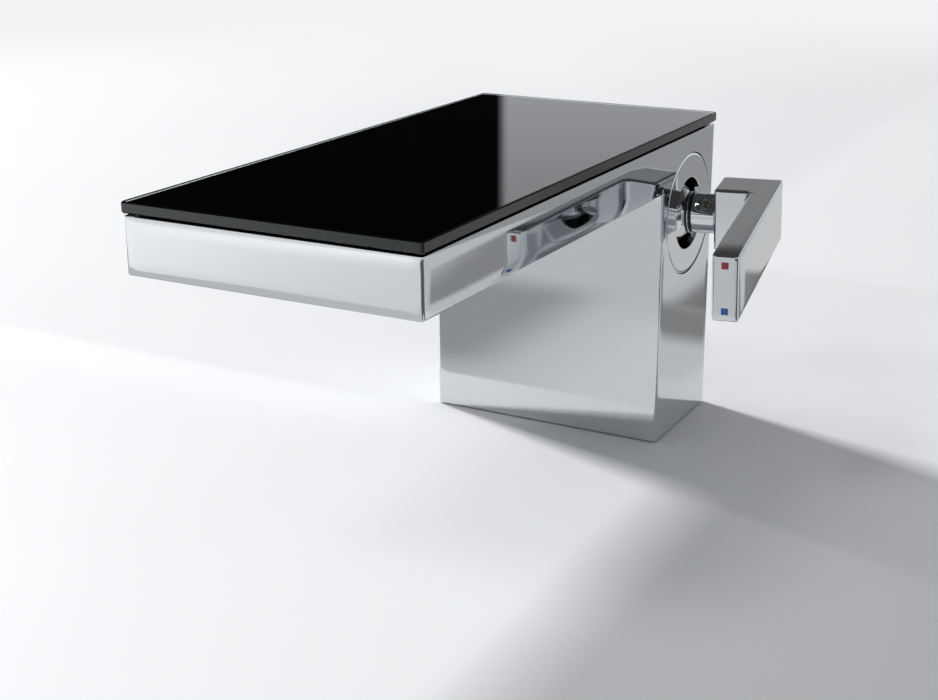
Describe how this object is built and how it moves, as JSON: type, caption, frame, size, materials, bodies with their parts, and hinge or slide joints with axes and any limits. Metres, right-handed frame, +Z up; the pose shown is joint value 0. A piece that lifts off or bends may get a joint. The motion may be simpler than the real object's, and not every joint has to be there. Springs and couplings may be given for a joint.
{
  "type": "waterfall bath mixer",
  "caption": "Deck-mounted bath mixer: rectangular column, long flat spout under a black glass plate, row nozzles below, and a side lever that tilts for flow and turns for temperature.",
  "frame": {"origin": "middle of the column's foot, on the deck under the gasket", "axes": "+Z up from the deck, the spout reaches towards -Y over the bath, the lever is on the +X side"},
  "size_m": [0.1574, 0.2462, 0.1293],
  "materials": {
    "polished_chrome": "polished",
    "steel_sheet": "rolled, matt",
    "steel_fixings": "turned",
    "black_glass": "polished, black at its back",
    "black_pad": "matt",
    "black_rubber": "matt",
    "grey_silicone": "satin",
    "black_plastic": "moulded, satin",
    "pale_plastic": "moulded, satin",
    "blue_grey_plastic": "moulded, satin",
    "cast_brass": "cast and machined",
    "turned_brass": "turned",
    "white_ceramic": "lapped",
    "red_inlay": "smooth",
    "blue_inlay": "smooth"
  },
  "bodies": {
    "root": {"body_shell": "polished_chrome", "top_cover_plate": "steel_sheet", "top_cover_screws": "steel_fixings", "glass_bond": "black_pad", "glass_plate": "black_glass", "spray_chamber": "black_plastic", "spray_chamber_gasket": "black_rubber", "spray_plate": "polished_chrome", "spray_plate_screws": "steel_fixings", "spray_nozzles": "grey_silicone", "feed_pipe": "turned_brass", "feed_pipe_seals": "black_rubber", "base_plate": "cast_brass", "base_plate_screws": "steel_fixings", "base_gasket": "black_rubber", "block_posts": "turned_brass", "post_screws": "steel_fixings", "hot_inlet_pipe": "turned_brass", "cold_inlet_pipe": "turned_brass", "inlet_pipe_seals": "black_rubber", "valve_block": "cast_brass", "cartridge_housing": "pale_plastic", "cartridge_base": "pale_plastic", "cartridge_seals": "black_rubber", "fixed_ceramic_disc": "white_ceramic", "cartridge_nut": "turned_brass", "cover_disc": "polished_chrome", "cover_disc_seal": "black_rubber"},
    "rotor": {"cartridge_rotor": "blue_grey_plastic", "pivot_pin": "steel_fixings"},
    "mixing_disc": {"disc_carrier": "pale_plastic", "moving_ceramic_disc": "white_ceramic"},
    "lever": {"spindle": "turned_brass", "dome_cap": "polished_chrome", "collar_ring": "black_plastic", "lever_stem": "polished_chrome", "set_screw": "steel_fixings", "lever_handle": "polished_chrome", "hot_mark": "red_inlay", "cold_mark": "blue_inlay"}
  },
  "joints": [
    {"name": "temperature_turn", "type": "hinge", "parent": "root", "child": "rotor", "pos_m": [0.03825, 0.001, 0.0914], "axis": [1, 0, 0], "range_deg": [-50.5, 39.5]},
    {"name": "flow_tilt", "type": "hinge", "parent": "rotor", "child": "lever", "pos_m": [0.03825, 0.001, 0.0914], "axis": [0, -0.0958, 0.9954], "range_deg": [-8, 14]},
    {"name": "disc_slide", "type": "slide", "parent": "rotor", "child": "mixing_disc", "axis": [0, 0.9954, 0.0958], "range_m": [-0.0027, 0.0016]}
  ],
  "couplings": [
    {"joint": "disc_slide", "follows": "flow_tilt", "m_per_rad": -0.01075}
  ]
}
